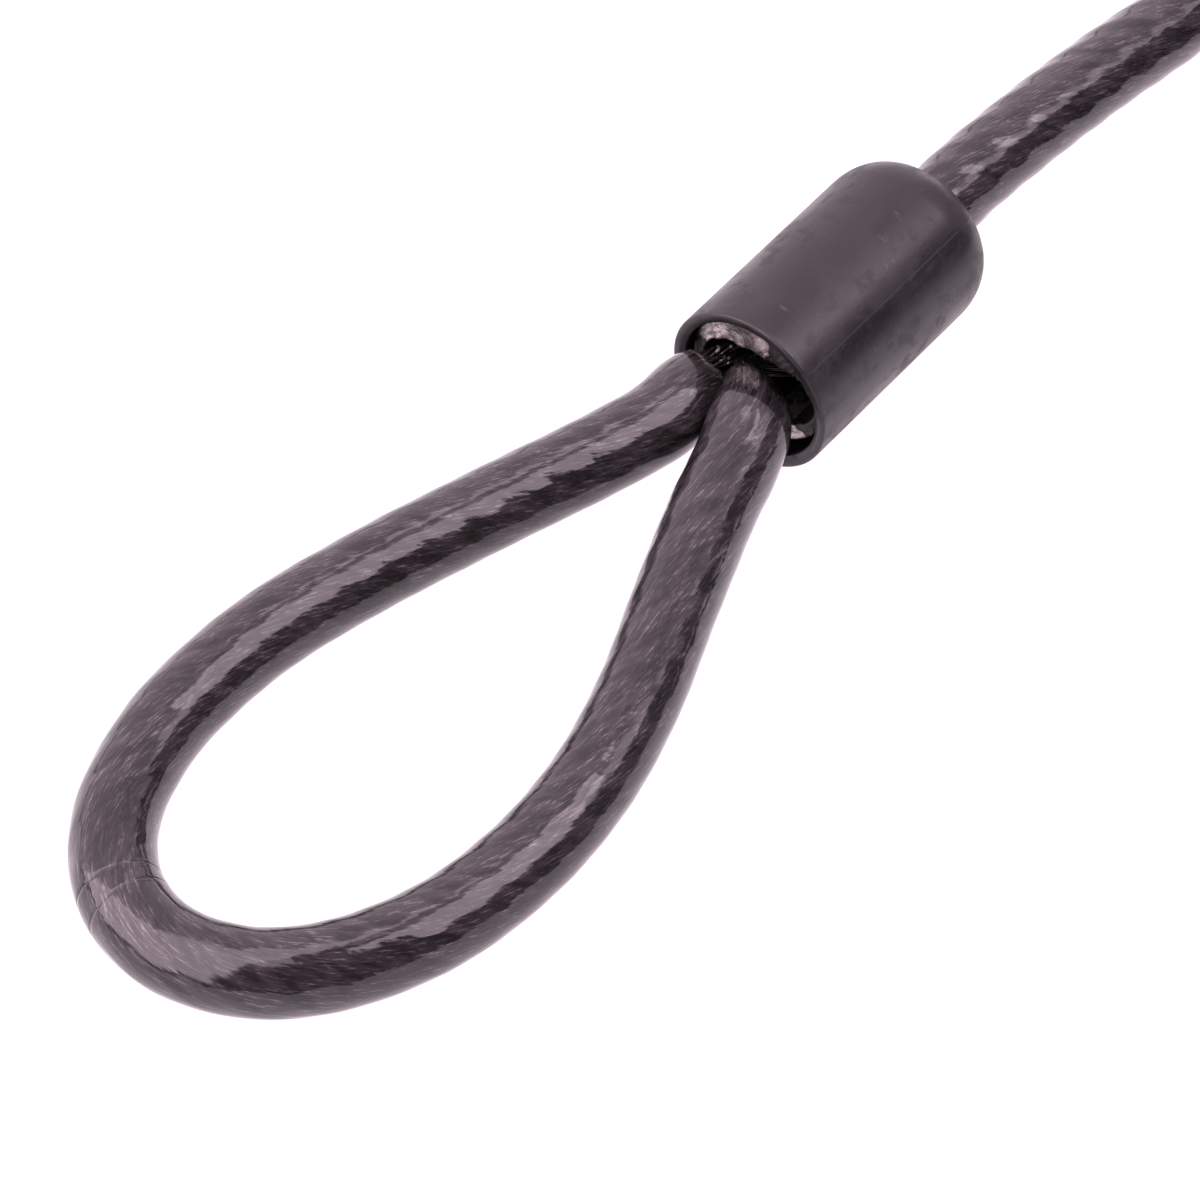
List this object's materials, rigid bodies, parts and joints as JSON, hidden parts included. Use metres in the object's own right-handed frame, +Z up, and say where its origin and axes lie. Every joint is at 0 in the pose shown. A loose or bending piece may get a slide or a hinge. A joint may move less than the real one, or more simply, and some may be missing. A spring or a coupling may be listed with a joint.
{
  "type": "looped security cable",
  "caption": "Coated steel security cable with a crimped teardrop eye and a black moulded sleeve on each end, its spare length wound in a tied coil.",
  "frame": {"origin": "on the floor under the middle of the near end's box", "axes": "+X along the near sleeve from its eye towards the free cable, +Z up, +Y to the left of the cable's run"},
  "size_m": [0.3222, 0.1678, 0.0222],
  "materials": {
    "jacket_vinyl": "smoked translucent vinyl, glossy, over steel rope",
    "rope_steel": "bright drawn steel wire in a right-hand lay",
    "sleeve_plastic": "satin black moulded plastic with light scuffs",
    "ferrule_metal": "dull pressed alloy, scratched",
    "tie_webbing": "black woven strap"
  },
  "bodies": {
    "cable": {"near_ferrule": "ferrule_metal", "near_loop_jacket": "jacket_vinyl", "near_rope_core": "rope_steel", "near_rope_strand_1": "rope_steel", "near_rope_strand_2": "rope_steel", "near_rope_strand_3": "rope_steel", "near_rope_strand_4": "rope_steel", "near_rope_strand_5": "rope_steel", "near_rope_strand_6": "rope_steel", "far_ferrule": "ferrule_metal", "far_loop_jacket": "jacket_vinyl", "far_rope_core": "rope_steel", "far_rope_strand_1": "rope_steel", "far_rope_strand_2": "rope_steel", "far_rope_strand_3": "rope_steel", "far_rope_strand_4": "rope_steel", "far_rope_strand_5": "rope_steel", "far_rope_strand_6": "rope_steel", "cable_lead": "jacket_vinyl", "cable_coil": "jacket_vinyl", "cable_tail": "jacket_vinyl", "coil_tie_1": "tie_webbing", "coil_tie_2": "tie_webbing"},
    "near_sleeve_body": {"near_sleeve": "sleeve_plastic"},
    "far_sleeve_body": {"far_sleeve": "sleeve_plastic"}
  },
  "joints": [
    {"name": "near_sleeve_turn", "type": "hinge", "parent": "cable", "child": "near_sleeve_body", "pos_m": [0.054, -0.00184, 0.0111], "axis": [1, 0, 0], "continuous": true},
    {"name": "far_sleeve_turn", "type": "hinge", "parent": "cable", "child": "far_sleeve_body", "pos_m": [0.126, -0.11383, 0.0111], "axis": [1, 0, 0], "continuous": true}
  ]
}
